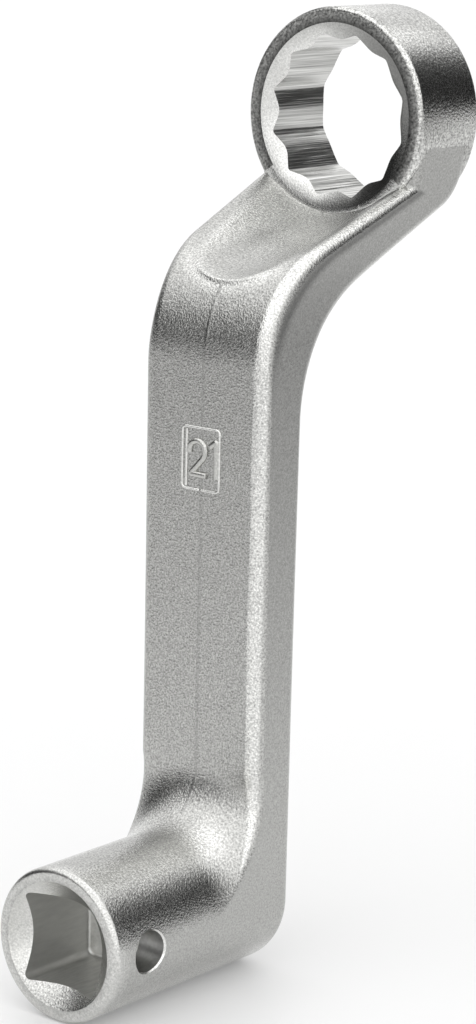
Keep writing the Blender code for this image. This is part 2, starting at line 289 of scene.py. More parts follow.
def edge_inset(depth, radius):
    """How far a quarter-round edge draws the outline in, at a depth below the face."""
    left = np.clip(radius - depth, 0.0, radius)
    return radius - np.sqrt(np.maximum(radius**2 - left**2, 0.0))


def flare_slope():
    """Slope of the line from the shank side that touches the ring's circle."""
    reach = math.hypot(FLARE_LENGTH, SHANK_HALF)
    return math.tan(math.asin((RING_RADIUS - FLARE_SINK) / reach) - math.atan2(SHANK_HALF, FLARE_LENGTH))


def plan_half_width(along, inset, half_width):
    """Half-width of the front view: a half circle at the heel, the straight shank, then the flare.

    The flare starts with a parabola that is two blends long, and inset draws the outline in.
    """
    heel = np.sqrt(np.maximum((BOSS_RADIUS - inset) ** 2 - np.minimum(along, 0.0) ** 2, 0.0))
    start = AXIS_SPACING - FLARE_LENGTH
    run = np.clip(along - start + FLARE_BLEND, 0.0, 2 * FLARE_BLEND)
    past = np.maximum(along - start - FLARE_BLEND, 0.0)
    flare = flare_slope() * (run**2 / (4 * FLARE_BLEND) + past)
    return np.where(along < 0.0, half_width / BOSS_RADIUS * heel, half_width + flare - inset)


def front_inset(depth, half_width, crown):
    """How far the front of a section lies inside its half-width: an arc of the crown radius that runs
    into the rounded edge."""
    sine = (half_width - EDGE_ROUND) / (crown - EDGE_ROUND)
    cosine = np.sqrt(np.maximum(1.0 - sine**2, 0.0))
    edge_depth = crown - (crown - EDGE_ROUND) * cosine
    bulge = np.sqrt(np.maximum(2 * crown * depth - depth**2, 0.0))
    left = np.clip(edge_depth - depth, 0.0, EDGE_ROUND)
    edge = half_width - EDGE_ROUND + np.sqrt(EDGE_ROUND**2 - left**2)
    reached = np.where(depth < crown * (1.0 - cosine), bulge, edge)
    return half_width - np.where(depth < edge_depth, reached, half_width)


def stations(front, back, half_width=SHANK_HALF, crown=FLAT_CROWN, back_gap=0.0, back_slope=1.0,
             draw_in=0.0):
    """A run of cross-sections, one row each: front and back point, half-width, crown of the front, height
    of the back point above the back face, slope of the section there, and how far it is drawn in."""
    values = (half_width, crown, back_gap, back_slope, draw_in)
    return np.column_stack([front, back, *[np.broadcast_to(value, len(front)) for value in values]])


def boss_stations():
    """Round sections square to the drive axis, from the rounded mouth of the boss down to its fillet."""
    turn = np.linspace(0.0, math.pi / 2, ROUND_STEPS + 1)
    draw_in = np.append(MOUTH_ROUND * (1.0 - np.sin(turn)), np.zeros(BOSS_STEPS))
    edge = BOSS_HEIGHT - MOUTH_ROUND * (1.0 - np.cos(turn))
    wall = np.linspace(edge[-1], BOSS_FILLET, BOSS_STEPS + 2)[1:-1]
    out = np.append(edge, wall)
    radius = BOSS_RADIUS - draw_in
    return stations(np.stack([radius, out], -1), np.stack([-radius, out], -1), BOSS_RADIUS, BOSS_RADIUS,
                    back_gap=out + SHANK_THICKNESS, back_slope=0.0, draw_in=draw_in)


def heel_outline():
    """The outline of the heel, from the boss down the wall, round the lower edge and up the back."""
    shares = np.linspace(0.0, 1.0, HEEL_STEPS, endpoint=False)
    centre = np.array([EDGE_ROUND - BOSS_RADIUS, EDGE_ROUND - SHANK_THICKNESS])
    wall = line(np.array([-BOSS_RADIUS, BOSS_FILLET]), centre - [EDGE_ROUND, 0.0], shares)
    edge = centre - EDGE_ROUND * heading(np.linspace(0.0, math.pi / 2, ROUND_STEPS, endpoint=False))
    back = np.full(HEEL_STEPS, -SHANK_THICKNESS)
    round_end = np.stack([centre[0] * np.cos(shares * math.pi / 2), back], -1)
    flat = np.stack([(BOSS_RADIUS + BOSS_FILLET) * shares, back], -1)
    return np.vstack([wall, edge, round_end, flat])


def heel_stations():
    """A fan of sections about the centre of the fillet, from the round boss to the flat shank."""
    pivot = np.array([BOSS_RADIUS + BOSS_FILLET, BOSS_FILLET])
    back = heel_outline()
    way = (back - pivot) / np.linalg.norm(back - pivot, axis=1)[:, None]
    front = pivot + BOSS_FILLET * way
    share = np.arctan2(-way[:, 0], -way[:, 1]) / (math.pi / 2)
    half_width = SHANK_HALF + (BOSS_RADIUS - SHANK_HALF) * share
    crown = np.minimum(front[:, 0] / np.maximum(-way[:, 0], MERGE_DISTANCE), FLAT_CROWN)
    return stations(front, back, half_width, crown, back[:, 1] + SHANK_THICKNESS, -way[:, 1])


def neck_lines():
    """The corners where the straight outlines of shank and neck would meet, front and back."""
    landing = np.array([AXIS_SPACING - NECK_LAND, RING_FRONT])
    front_corner = at_height(landing, heading(-NECK_FRONT_ANGLE), 0.0)
    behind = (landing + front_corner) / 2 - NECK_THICKNESS * heading(math.pi / 2 - NECK_FRONT_ANGLE)
    back_corner = at_height(behind, heading(-NECK_BACK_ANGLE), -SHANK_THICKNESS)
    return front_corner, back_corner


def bar_stations():
    """Sections of the whole bar: boss, heel, shank, bend, neck and the root that ends inside the ring."""
    front_corner, back_corner = neck_lines()
    root_front = at_height(front_corner, heading(-NECK_FRONT_ANGLE), RING_FRONT - ROOT_DEPTH)
    root_back = at_height(back_corner, heading(-NECK_BACK_ANGLE), RING_BACK + RING_EDGE_ROUND)
    touch = AXIS_SPACING - RING_RADIUS * math.sin(math.atan(flare_slope()))
    shares = np.linspace(0.0, 1.0, BEND_STEPS + 1)
    bend_front = arc(front_corner, 0.0, -NECK_FRONT_ANGLE, NECK_FRONT_RADIUS, shares)
    bend_back = arc(back_corner, 0.0, -NECK_BACK_ANGLE, NECK_BACK_RADIUS, shares)
    foot = BOSS_RADIUS + BOSS_FILLET
    shares = np.linspace(0.0, 1.0, SHANK_STEPS, endpoint=False)
    shank_front = line(np.array([foot, 0.0]), bend_front[0], shares)
    shank_back = line(np.array([foot, -SHANK_THICKNESS]), bend_back[0], shares)
    shares = np.linspace(0.0, 1.0, NECK_STEPS + 1)[1:]
    root_start = arc(root_back, -NECK_BACK_ANGLE, 0.0, ROOT_ROUND, np.zeros(1))[0]
    neck_front = line(bend_front[-1], root_front, shares)
    neck_back = line(bend_back[-1], root_start, shares)
    shares = np.linspace(0.0, 1.0, ROOT_STEPS + 1)[1:]
    turned_front = line(root_front, np.array([touch, root_front[1]]), shares)
    turned_back = arc(root_back, -NECK_BACK_ANGLE, 0.0, ROOT_ROUND, shares)
    turned_back[-1] = (touch, root_back[1])
    upper = stations(np.vstack([shank_front, bend_front, neck_front]),
                     np.vstack([shank_back, bend_back, neck_back]))
    return np.vstack([boss_stations(), heel_stations(), upper]), stations(turned_front, turned_back)


def spread(outline, count):
    """Points along an outline, evenly by length plus a weight for every turn, so that they crowd at the
    edges."""
    steps = np.diff(outline, axis=0)
    outline = outline[np.append(True, np.linalg.norm(steps, axis=1) > MERGE_DISTANCE)]
    steps = np.diff(outline, axis=0)
    headings = np.unwrap(np.arctan2(steps[:, 1], steps[:, 0]))
    turns = np.append(0.0, np.abs(np.diff(headings)))
    measure = np.append(0.0, np.cumsum(np.linalg.norm(steps, axis=1) + TURN_WEIGHT * turns))
    wanted = np.linspace(0.0, measure[-1], count)
    return np.column_stack([np.interp(wanted, measure, outline[:, k]) for k in (0, 1)])


def section_loop(station):
    """The closed loop of one section: half its outline by depth and half-width, and its mirror image."""
    front, back = station[:2], station[2:4]
    half_width, crown, back_gap, back_slope, draw_in = station[4:]
    length = np.linalg.norm(back - front)
    depth = length * (1.0 - np.cos(np.linspace(0.0, math.pi, CURVE_STEPS))) / 2
    along = front[0] + (back - front)[0] / length * depth
    narrow = half_width - draw_in
    above_back = (length - depth) * back_slope + back_gap
    inset = front_inset(depth, narrow, max(crown - draw_in, narrow)) + edge_inset(above_back, EDGE_ROUND)
    side = plan_half_width(along, inset + draw_in, half_width)
    half = spread(np.column_stack([np.r_[0.0, depth, length], np.r_[0.0, side, 0.0]]), SECTION_STEPS)
    half[[0, -1], 1] = 0.0
    loop = np.vstack([half, half[-2:0:-1] * (1, -1)])
    return np.column_stack([front + loop[:, :1] / length * (back - front), loop[:, 1]])


def scoop_arm(points):
    """The arms that lead straight to points from the axis of the leaning cylinder of the scoop."""
    start = np.array([AXIS_SPACING - SCOOP_LANDING + SCOOP_RADIUS / math.cos(SCOOP_ANGLE), RING_FRONT, 0.0])
    axis = np.array([-math.sin(SCOOP_ANGLE), math.cos(SCOOP_ANGLE), 0.0])
    arm = points - start
    return arm - (arm @ axis)[..., None] * axis


def scooped(points):
    """The neck with its scoop: what lies inside a leaning cylinder moves straight away from the cylinder's
    axis to its wall, over a rim that is tight at the lower end and soft at the sides. A low lip stands at
    the lower end."""
    radial = scoop_arm(points)
    distance = np.linalg.norm(radial, axis=-1)
    sideways = smooth_step(np.abs(points[..., 2]), *SCOOP_SIDE)
    rim = SCOOP_END_RIM + (SCOOP_SIDE_RIM - SCOOP_END_RIM) * sideways
    moved = points + radial * (smooth_max(distance, SCOOP_RADIUS, rim) / distance - 1.0)[..., None]
    lip = SCOOP_LIP_HEIGHT * (1.0 - sideways) * bell(distance, SCOOP_RADIUS, SCOOP_LIP_WIDTH)
    upward = np.array([*heading(math.pi / 2 - NECK_FRONT_ANGLE / 2), 0.0])
    return moved + lip[..., None] * upward


def painted_edge_highlight(loops):
    """How much painted highlight each point gets: by the bend of its loop, so along every tight edge."""
    before = loops - np.roll(loops, 1, axis=1)
    after = np.roll(loops, -1, axis=1) - loops
    lengths = np.linalg.norm(before, axis=-1) * np.linalg.norm(after, axis=-1)
    turn = np.arccos(np.clip((before * after).sum(-1) / np.maximum(lengths, MERGE_DISTANCE**2), -1.0, 1.0))
    return smooth_step(turn / np.sqrt(np.maximum(lengths, MERGE_DISTANCE**2)), *EDGE_BENDS)


def painted_scoop_highlight(loops, neck):
    """How much painted highlight the scoop gets: its walls above the lower end, apart from a dull valley
    beside the middle, and a brow round the lower end. loops are the points before the scoop is pressed in,
    and neck those after it."""
    depth = SCOOP_RADIUS - np.linalg.norm(scoop_arm(loops), axis=-1)
    inside = smooth_step(depth, *SCOOP_SHINE)
    rise = smooth_step(neck[..., 0], *SCOOP_RISE)
    valley = bell(neck[..., 2], SCOOP_VALLEY, SCOOP_VALLEY_WIDTH)
    valley = valley * (1.0 - smooth_step(neck[..., 0], *SCOOP_VALLEY_END))
    brow = SCOOP_BROW_SHINE * smooth_step(depth, *SCOOP_BROW) * (1.0 - inside) * (1.0 - rise)
    return inside * rise * (1.0 - valley) + brow


def painted_edge_shade(sections, loops):
    """How much painted shade the +X side of the neck gets behind its painted edge highlight: a soft line at a
    depth below the front of each section."""
    front, back = sections[:, None, :2], sections[:, None, 2:4]
    inward = (back - front) / np.linalg.norm(back - front, axis=-1, keepdims=True)
    depth = ((loops[..., :2] - front) * inward).sum(-1)
    shade = EDGE_SHADE * bell(depth, EDGE_SHADE_DEPTH, EDGE_SHADE_WIDTH)
    return shade * (loops[..., 2] > 0.0) * smooth_step(loops[..., 0], *EDGE_SHADE_RISE)


def leanings(loops):
    """How far the surface leans up and to a side: the sizes of these two parts of its unit normal, which is
    the cross product of the grid's two directions."""
    around = np.roll(loops, -1, axis=1) - np.roll(loops, 1, axis=1)
    normal = np.cross(np.gradient(loops, axis=0), around)
    normal = np.abs(normal) / np.maximum(np.linalg.norm(normal, axis=-1), MERGE_DISTANCE**2)[..., None]
    return normal[..., 0], normal[..., 2]


def skin(name, rows, materials, bands=0, painted_light=None):
    """A closed skin over a grid of points: each row is a loop, and the first and last rows are capped.

    bands gives the material of each strip between two rows, or of each of its faces, and a cap takes that
    of the strip beside it. The last argument gives each point its painted highlight, or painted shade where
    it is below 0.
    """
    count, width = rows.shape[:2]
    index = np.arange(count * width).reshape(count, width)
    after = np.roll(index, -1, axis=1)
    quads = np.stack([index[:-1], after[:-1], after[1:], index[1:]], -1).reshape(-1, 4)
    faces = quads.tolist() + [index[0, ::-1].tolist(), index[-1].tolist()]
    mesh = bpy.data.meshes.new(name)
    mesh.from_pydata(rows.reshape(-1, 3), [], faces)
    outward = bmesh.new()
    outward.from_mesh(mesh)
    bmesh.ops.recalc_face_normals(outward, faces=outward.faces)
    outward.to_mesh(mesh)
    outward.free()
    for material in materials:
        mesh.materials.append(material)
    strips = np.broadcast_to(bands, (count - 1, width))
    mesh.polygons.foreach_set("material_index", np.append(strips, [strips[0, 0], strips[-1, 0]]))
    if painted_light is not None:
        mesh.attributes.new("painted_light", "FLOAT", "POINT").data.foreach_set("value", painted_light.ravel())
    piece = bpy.data.objects.new(name, mesh)
    bpy.context.scene.collection.objects.link(piece)
    return piece


def bar():
    """The bar of the forging, lofted over its sections, with the scoop in its neck.

    It gets a painted highlight along the front edge on the +X side, in the scoop, round the mouth and on both
    flanks of the boss's fillet, and painted shade behind the edge of the neck. Its first strips are the round
    of the mouth.
    """
    upper, root = bar_stations()
    loops = np.stack([section_loop(station) for station in upper])
    root_loops = np.stack([section_loop(station) for station in root])
    neck = scooped(loops)
    # Painted light: highlights along the +X front edge, in the scoop, round the mouth and on the fillet's
    # flanks, and painted shade behind the neck's edge
    hollow = painted_scoop_highlight(loops, neck)
    upwards, sideways = leanings(loops)
    edges = painted_edge_highlight(loops) * (1.0 - smooth_step(loops[..., 0], *EDGE_FADE))
    edges = edges * (1.0 - smooth_step(sideways, *EDGE_TURN)) * (loops[..., 2] > 0.0)
    flanks = smooth_step(sideways, *FLANK_SIDEWAYS) * smooth_step(upwards, *FLANK_UPWARDS)
    flanks = flanks * (loops[..., 0] < BOSS_RADIUS + BOSS_FILLET)
    mouth_edge = BOSS_HEIGHT - MOUTH_ROUND
    mouth = MOUTH_PAINTED_HIGHLIGHT * smooth_step(loops[..., 1], mouth_edge - MOUTH_ROUND, mouth_edge)
    painted_light = np.max([edges, hollow, mouth, flanks], axis=0) - painted_edge_shade(upper, loops)
    rows = np.concatenate([neck, root_loops])
    painted_light = np.concatenate([painted_light, np.zeros(root_loops.shape[:2])])
    bands = np.where(np.arange(len(rows) - 1) < ROUND_STEPS, 1, 0)[:, None]
    return skin("wrench_forging", place(*np.moveaxis(rows, -1, 0)), [BLASTED, RIM], bands, painted_light)


def turned(name, radius, out, angles, centre, materials, bands=0):
    """A body turned about an axis that points out: every row is a loop of radius and height over angles."""
    rows = place(centre + radius * np.cos(angles), out, radius * np.sin(angles))
    return skin(name, rows, materials, bands)


def ring_blank():
    """The ring as a turned disc with quarter-round edges. Its front face is coarse and dark with painted
    shade, except next to the neck, and so is the front edge on the -X side."""
    turn = np.linspace(0.0, math.pi / 2, ROUND_STEPS + 1)
    inset = np.append(RING_RADIUS - RING_FLAT, RING_EDGE_ROUND * (1.0 - np.sin(turn)))
    depth = np.append(0.0, RING_EDGE_ROUND * (1.0 - np.cos(turn)))
    radius = RING_RADIUS - np.append(inset, inset[::-1])
    out = np.append(RING_FRONT - depth, RING_BACK + depth[::-1])
    angles = (np.arange(CIRCLE_STEPS) + 0.5) * 2 * math.pi / CIRCLE_STEPS
    bands = np.zeros((len(radius) - 1, CIRCLE_STEPS), int)
    # Painted shade: the front face is dark and coarse except low down, and so is the front edge on the -X
    # side
    bands[0] = np.where(np.cos(angles) > RING_COARSE_SHADE_COSINE, 1, 2)
    bands[1:ROUND_STEPS + 1] = (np.cos(angles) > RING_COARSE_SHADE_COSINE) & (np.sin(angles) < 0.0)
    return turned("ring_blank", radius[:, None], out[:, None], angles[None, :], AXIS_SPACING,
                  [RING, COARSE_SHADED, MACHINED], bands)


def star_radius(angles):
    """Radius of the 12-point bore: each of two crossed hexagons is the nearer of two neighbouring flats, and
    the bore is the wider of the two, with both choices softened."""
    step = math.pi / 3
    wide = []
    for turn in (step / 4, 3 * step / 4):
        off = np.abs(np.mod(angles - turn + step / 2, step) - step / 2)
        flat = RING_FLAT / np.cos(off)
        next_flat = RING_FLAT / np.cos(step - off)
        wide.append(-smooth_max(-flat, -next_flat, LOBE_ROUND))
    return smooth_max(wide[0], wide[1], LOBE_ROUND)


def ring_bore():
    """The cutter of the bore: the star carried through the ring, a lead-in cone at each end, and outside
    the cones a straight flank that clears the root of the neck."""
    angles = (np.arange(RING_POINTS * LOBE_STEPS) + 0.5) * 2 * math.pi / (RING_POINTS * LOBE_STEPS)
    star = star_radius(angles)
    rim = RING_FLAT / math.cos(math.pi / 6) + RING_LEAD_IN
    flank = np.full_like(star, rim + SPOTFACE_CLEARANCE)
    radius, out = [], []
    ends = ((RING_BACK, -1.0, RING_BACK_LEAD_ANGLE), (RING_FRONT, 1.0, RING_FRONT_LEAD_ANGLE))
    for face, outward, angle in ends:
        end_radius = [star, flank, flank]
        end_out = [face - outward * (rim - star) * math.tan(angle),
                   face - outward * (rim - flank) * math.tan(angle),
                   np.full_like(star, face + outward * OVERSHOOT)]
        radius = radius[::-1] + end_radius
        out = out[::-1] + end_out
    bands = np.array([0, 1, 2, 3, 0])[:, None]
    return turned("ring_bore", np.array(radius), np.array(out), angles[None, :], AXIS_SPACING,
                  [RIM, MACHINED, BROACHED, LEAD_IN], bands)


def square_radius(angles):
    """Radius of the drive square: the distance of a flat over the cosine of the angle from its middle, and
    near a corner the far wall of the circle that rounds it."""
    reach = SQUARE_HALF - SQUARE_CORNER_ROUND
    off = np.abs(np.mod(angles + math.pi / 4, math.pi / 2) - math.pi / 4)
    flat = SQUARE_HALF / np.cos(off)
    lean = reach * (np.cos(off) + np.sin(off))
    corner = lean + np.sqrt(np.maximum(lean**2 - 2 * reach**2 + SQUARE_CORNER_ROUND**2, 0.0))
    return np.where(off > math.atan2(reach, SQUARE_HALF), corner, flat)


def drive_socket():
    """The cutter of the drive socket: the cone that leads in, the square with rounded corners, and a
    quarter round down to the floor."""
    angles = (np.arange(CIRCLE_STEPS) + 0.5) * 2 * math.pi / CIRCLE_STEPS
    square = square_radius(angles)
    slope = math.tan(COUNTERSINK_ANGLE)
    wide = np.full_like(square, COUNTERSINK_RADIUS + OVERSHOOT / slope)
    turn = np.linspace(0.0, math.pi / 2, ROUND_STEPS + 1)[:, None]
    round_in = SOCKET_FLOOR_ROUND * (1.0 - np.cos(turn))
    round_up = SOCKET_FLOOR_ROUND * (1.0 - np.sin(turn))
    radius = np.vstack([wide, square, square - round_in])
    out = np.vstack([np.full_like(square, BOSS_HEIGHT + OVERSHOOT),
                     BOSS_HEIGHT - (COUNTERSINK_RADIUS - square) * slope,
                     BOSS_HEIGHT - SOCKET_DEPTH + round_up + np.zeros_like(square)])
    bands = np.zeros((ROUND_STEPS + 2, CIRCLE_STEPS), int)
    # Painted shade: the countersink's lower part is dull, with the grainier blasted finish
    bands[0] = np.where(np.cos(angles) < COUNTERSINK_DULL_COSINE, 2, 1)
    return turned("drive_socket", radius, out, angles[None, :], 0.0, [SMOOTH, FINE, BLASTED], bands)


def cross_hole():
    """The cutter of the round hole through the side of the boss: a straight bore, then a cone that breaks
    its edge where the bore comes out of the boss's own circle."""
    angles = (np.arange(HOLE_STEPS) + 0.5) * 2 * math.pi / HOLE_STEPS
    surface = np.sqrt(BOSS_RADIUS**2 - (CROSS_HOLE_RADIUS * np.cos(angles)) ** 2)
    past = np.array([-CROSS_HOLE_RIM, OVERSHOOT])[:, None]
    across = np.vstack([np.zeros(HOLE_STEPS), surface + past])
    radius = CROSS_HOLE_RADIUS + np.array([0.0, 0.0, CROSS_HOLE_RIM + OVERSHOOT])[:, None]
    along = radius * np.cos(angles)
    out = BOSS_HEIGHT - CROSS_HOLE_FROM_MOUTH + radius * np.sin(angles)
    bands = np.array([0, 1])[:, None]
    return skin("cross_hole", place(along, out, across), [DRILLED, MACHINED], bands)


def raised_line(name, path, side, up, width, height, material):
    """A low bead on a surface: half an ellipse carried along a path, with its foot sunk below the
    surface."""
    turn = np.linspace(0.0, math.pi, 2 * ROUND_STEPS + 1)
    wide = np.concatenate([[width / 2], width / 2 * np.cos(turn), [-width / 2]])
    high = np.concatenate([[-LINE_SINK], height * np.sin(turn), [-LINE_SINK]])
    rows = path[:, None] + wide[None, :, None] * side[:, None] + high[None, :, None] * up[:, None]
    piece = skin(name, place(*np.moveaxis(rows, -1, 0)), [material])
    piece.data.shade_smooth()
    return piece


def mark_line(name, points, width, height, material):
    """A raised line of the size mark on the front face, through points that are given as across and along.

    The path is cut into even steps, and a running mean rounds its corners.
    """
    corners = np.array(points) * MM
    lengths = np.append(0.0, np.cumsum(np.linalg.norm(np.diff(corners, axis=0), axis=1)))
    wanted = np.linspace(0.0, lengths[-1], STROKE_STEPS)
    flat = np.column_stack([np.interp(wanted, lengths, corners[:, k]) for k in (0, 1)])
    padded = np.pad(flat, ((STROKE_BLUR // 2, STROKE_BLUR // 2), (0, 0)), mode="edge")
    flat = np.lib.stride_tricks.sliding_window_view(padded, STROKE_BLUR, axis=0).mean(-1)
    way = np.gradient(flat, axis=0)
    way = way / np.linalg.norm(way, axis=1)[:, None]
    zero = np.zeros(STROKE_STEPS)
    path = np.column_stack([flat[:, 1], zero, flat[:, 0]])
    side = np.column_stack([-way[:, 0], zero, way[:, 1]])
    up = np.broadcast_to([0.0, 1.0, 0.0], path.shape)
    return raised_line(name, path, side, up, width, height, material)


def size_mark():
    """The size mark: the width across flats in plain digits, in a thin frame with a second line on its
    left."""
    across, along, radius, first, last = MARK_TWO_BOWL
    turn = np.radians(np.linspace(first, last, STROKE_STEPS))
    bowl = np.column_stack([across + radius * np.cos(turn), along + radius * np.sin(turn)])
    return [mark_line("mark_frame", MARK_FRAME, FRAME_WIDTH, FRAME_HEIGHT, MACHINED),
            mark_line("mark_line", MARK_LINE, FRAME_WIDTH, FRAME_HEIGHT, MACHINED),
            mark_line("mark_two", np.vstack([bowl, MARK_TWO_FOOT]), DIGIT_WIDTH, DIGIT_HEIGHT, FINE),
            mark_line("mark_one", MARK_ONE, DIGIT_WIDTH, DIGIT_HEIGHT, FINE)]


def parting_line():
    """The faint ridge that the seam of the dies leaves down the front, from the bend into the fillet."""
    front_corner, _ = neck_lines()
    shares = np.linspace(0.0, PARTING_BEND_SHARE, STROKE_STEPS)
    bend = arc(front_corner, 0.0, -NECK_FRONT_ANGLE, NECK_FRONT_RADIUS, shares)
    foot = np.array([BOSS_RADIUS + BOSS_FILLET, 0.0])
    turn = np.linspace(PARTING_FILLET, 0.0, STROKE_STEPS, endpoint=False)
    fillet = foot + BOSS_FILLET * np.stack([-np.sin(turn), 1.0 - np.cos(turn)], -1)
    shank = line(foot, bend[0], np.linspace(0.0, 1.0, STROKE_STEPS, endpoint=False))
    flat = np.vstack([fillet, shank, bend])
    way = np.gradient(flat, axis=0)
    way = way / np.linalg.norm(way, axis=1)[:, None]
    zero = np.zeros(len(flat))
    path = np.column_stack([flat, zero])
    up = np.column_stack([-way[:, 1], way[:, 0], zero])
    side = np.broadcast_to([0.0, 0.0, 1.0], path.shape)
    return raised_line("parting_line", path, side, up, PARTING_WIDTH, PARTING_HEIGHT, SEAM)


def combined(body, others):
    """Joins shapes to the body or cuts them away, and keeps the result as the body's own mesh."""
    for other, operation in others:
        modifier = body.modifiers.new(other.name, "BOOLEAN")
        modifier.operation = operation
        modifier.object = other
        modifier.material_mode = "TRANSFER"
    shown = body.evaluated_get(bpy.context.evaluated_depsgraph_get())
    mesh = bpy.data.meshes.new_from_object(shown)
    body.modifiers.clear()
    body.data = mesh
    mesh.shade_smooth()
    mesh.set_sharp_from_angle(angle=SHARP_ANGLE)
    for other, _ in others:
        bpy.data.objects.remove(other)
    return body


def math_node(tree, operation, first, second):
    """A math node on two inputs, each a socket or a number."""
    node = tree.nodes.new("ShaderNodeMath")
    node.operation = operation
    for socket, value in zip(node.inputs, (first, second)):
        if isinstance(value, float):
            socket.default_value = value
        else:
            tree.links.new(value, socket)
    return node.outputs["Value"]


def ramp(tree, value, start, end, first, last):
    """A soft step of a value: first up to start, last from end on, and a smooth curve between them."""
    step = tree.nodes.new("ShaderNodeMapRange")
    step.interpolation_type = "SMOOTHSTEP"
    step.inputs["From Min"].default_value = start
    step.inputs["From Max"].default_value = end
    step.inputs["To Min"].default_value = first
    step.inputs["To Max"].default_value = last
    tree.links.new(value, step.inputs["Value"])
    return step.outputs["Result"]


def chrome(name, color, roughness, grain_scale, grain_height, speckle, side_grain=SIDE_GRAIN,
           painted_highlight_color=None):
    """Satin chrome: metal with a fine grain that stands up as a bump and speckles its brightness.

    grain_scale is the number of grains per metre along each axis, grain_height is how high they stand, and
    speckle is how far they brighten or darken the metal. side_grain is the share of the grain that is left
    on the narrow sides and on faces that look down. Where the point's attribute of painted light is above 0
    the metal gets a painted highlight, and where it is below 0 painted shade. Upright faces get painted shade
    upwards, the narrow sides most. With the last argument the metal goes to that colour as a painted
    highlight on faces that turn to +X, keeps its own colour as painted shade on the others, and gets no
    painted highlight from the attribute.
    """
    material = bpy.data.materials.new(name)
    material.use_nodes = True
    tree = material.node_tree
    nodes, links = tree.nodes, tree.links
    shader = nodes["Principled BSDF"]
    shader.inputs["Metallic"].default_value = 1.0
    shader.inputs["Roughness"].default_value = roughness
    coordinates = nodes.new("ShaderNodeTexCoord")
    stretch = nodes.new("ShaderNodeMapping")
    stretch.inputs["Scale"].default_value = grain_scale
    links.new(coordinates.outputs["Object"], stretch.inputs["Vector"])
    grain = nodes.new("ShaderNodeTexNoise")
    grain.inputs["Scale"].default_value = 1.0
    grain.inputs["Detail"].default_value = GRAIN_DETAIL
    grain.inputs["Roughness"].default_value = GRAIN_ROUGHNESS
    links.new(stretch.outputs["Vector"], grain.inputs["Vector"])
    normal = nodes.new("ShaderNodeSeparateXYZ")
    links.new(coordinates.outputs["Normal"], normal.inputs["Vector"])
    point = nodes.new("ShaderNodeSeparateXYZ")
    links.new(coordinates.outputs["Object"], point.inputs["Vector"])

    sideways = math_node(tree, "ABSOLUTE", normal.outputs["X"], 0.0)
    on_sides = ramp(tree, sideways, *SIDE_TURN, 1.0, side_grain)
    on_undersides = ramp(tree, normal.outputs["Z"], *DOWN_TURN, side_grain, 1.0)
    level = math_node(tree, "SUBTRACT", grain.outputs["Fac"], GRAIN_MIDDLE)
    level = math_node(tree, "MULTIPLY", level, on_sides)
    level = math_node(tree, "MULTIPLY", level, on_undersides)
    bump = nodes.new("ShaderNodeBump")
    bump.inputs["Distance"].default_value = grain_height
    links.new(level, bump.inputs["Height"])
    links.new(bump.outputs["Normal"], shader.inputs["Normal"])

    # Painted highlight where the point's attribute is above 0, painted shade where it is below 0
    painted_light = nodes.new("ShaderNodeAttribute")
    painted_light.attribute_name = "painted_light"
    mix = nodes.new("ShaderNodeMix")
    mix.data_type = "RGBA"
    mix.inputs[MIX_FIRST].default_value = color
    # For the lead-in: painted shade on faces that turn to -X, a painted highlight on faces that turn to +X
    if painted_highlight_color:
        mix.inputs[MIX_SECOND].default_value = painted_highlight_color
        links.new(ramp(tree, normal.outputs["X"], *LEAD_IN_HIGHLIGHT_TURN, 0.0, 1.0), mix.inputs["Factor"])
    else:
        mix.inputs[MIX_SECOND].default_value = BRIGHT
        links.new(painted_light.outputs["Fac"], mix.inputs["Factor"])

    # Painted shade: upright faces darker upwards, and the narrow sides most
    tone = nodes.new("ShaderNodeMapRange")
    tone.inputs["From Min"].default_value = PAINTED_SHADE_HEIGHTS[0]
    tone.inputs["From Max"].default_value = PAINTED_SHADE_HEIGHTS[1]
    tone.inputs["To Max"].default_value = PAINTED_SHADE_SHARE
    links.new(point.outputs["Z"], tone.inputs["Value"])
    upwards = math_node(tree, "ABSOLUTE", normal.outputs["Z"], 0.0)
    upright = ramp(tree, upwards, *UPRIGHT_TURN, 1.0, 0.0)
    darker = math_node(tree, "MULTIPLY", tone.outputs["Result"], upright)
    side_painted_shade = ramp(tree, point.outputs["Z"], *SIDE_PAINTED_SHADE_FADE, SIDE_PAINTED_SHADE, 0.0)
    more = math_node(tree, "MULTIPLY", math_node(tree, "SUBTRACT", 1.0, on_sides), side_painted_shade)
    darker = math_node(tree, "MULTIPLY", darker, math_node(tree, "ADD", more, 1.0))
    shade = math_node(tree, "MINIMUM", painted_light.outputs["Fac"], 0.0)

    speckles = math_node(tree, "MULTIPLY", level, speckle / GRAIN_MIDDLE)
    brightness = math_node(tree, "ADD", speckles, 1.0)
    brightness = math_node(tree, "MULTIPLY", brightness, math_node(tree, "SUBTRACT", 1.0, darker))
    brightness = math_node(tree, "MULTIPLY", brightness, math_node(tree, "ADD", shade, 1.0))
    scaled = nodes.new("ShaderNodeVectorMath")
    scaled.operation = "SCALE"
    links.new(mix.outputs[MIX_RESULT], scaled.inputs["Vector"])
    links.new(brightness, scaled.inputs["Scale"])
    links.new(scaled.outputs["Vector"], shader.inputs["Base Color"])
    return material


